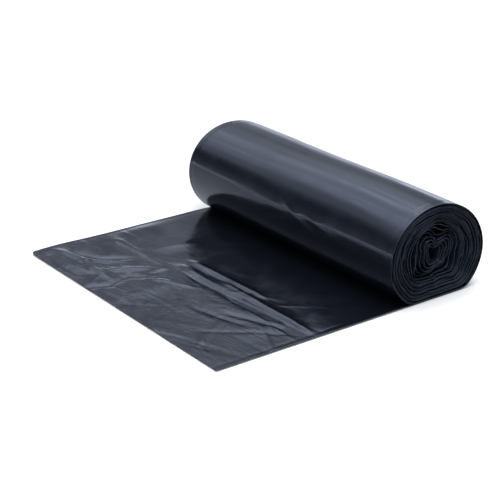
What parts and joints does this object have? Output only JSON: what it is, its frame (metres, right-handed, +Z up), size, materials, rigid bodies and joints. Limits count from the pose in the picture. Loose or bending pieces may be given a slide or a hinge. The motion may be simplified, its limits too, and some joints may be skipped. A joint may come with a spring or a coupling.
{
  "type": "bin bag roll",
  "caption": "Coreless roll of glossy black film bin bags, wound from a folded web, lying on a small flat spot with its creased tail pulled out flat.",
  "frame": {"origin": "on the floor under the roll's axis, half way along the roll, on the flat spot that it rests on", "axes": "+X along the roll, +Z up, and the loose tail lies on the floor toward -Y"},
  "size_m": [0.235, 0.2258, 0.0673],
  "materials": {
    "film": "glossy blue-black film with fine drawn streaks and creases"
  },
  "bodies": {
    "root": {"bin_bag_roll": "film"}
  },
  "joints": []
}
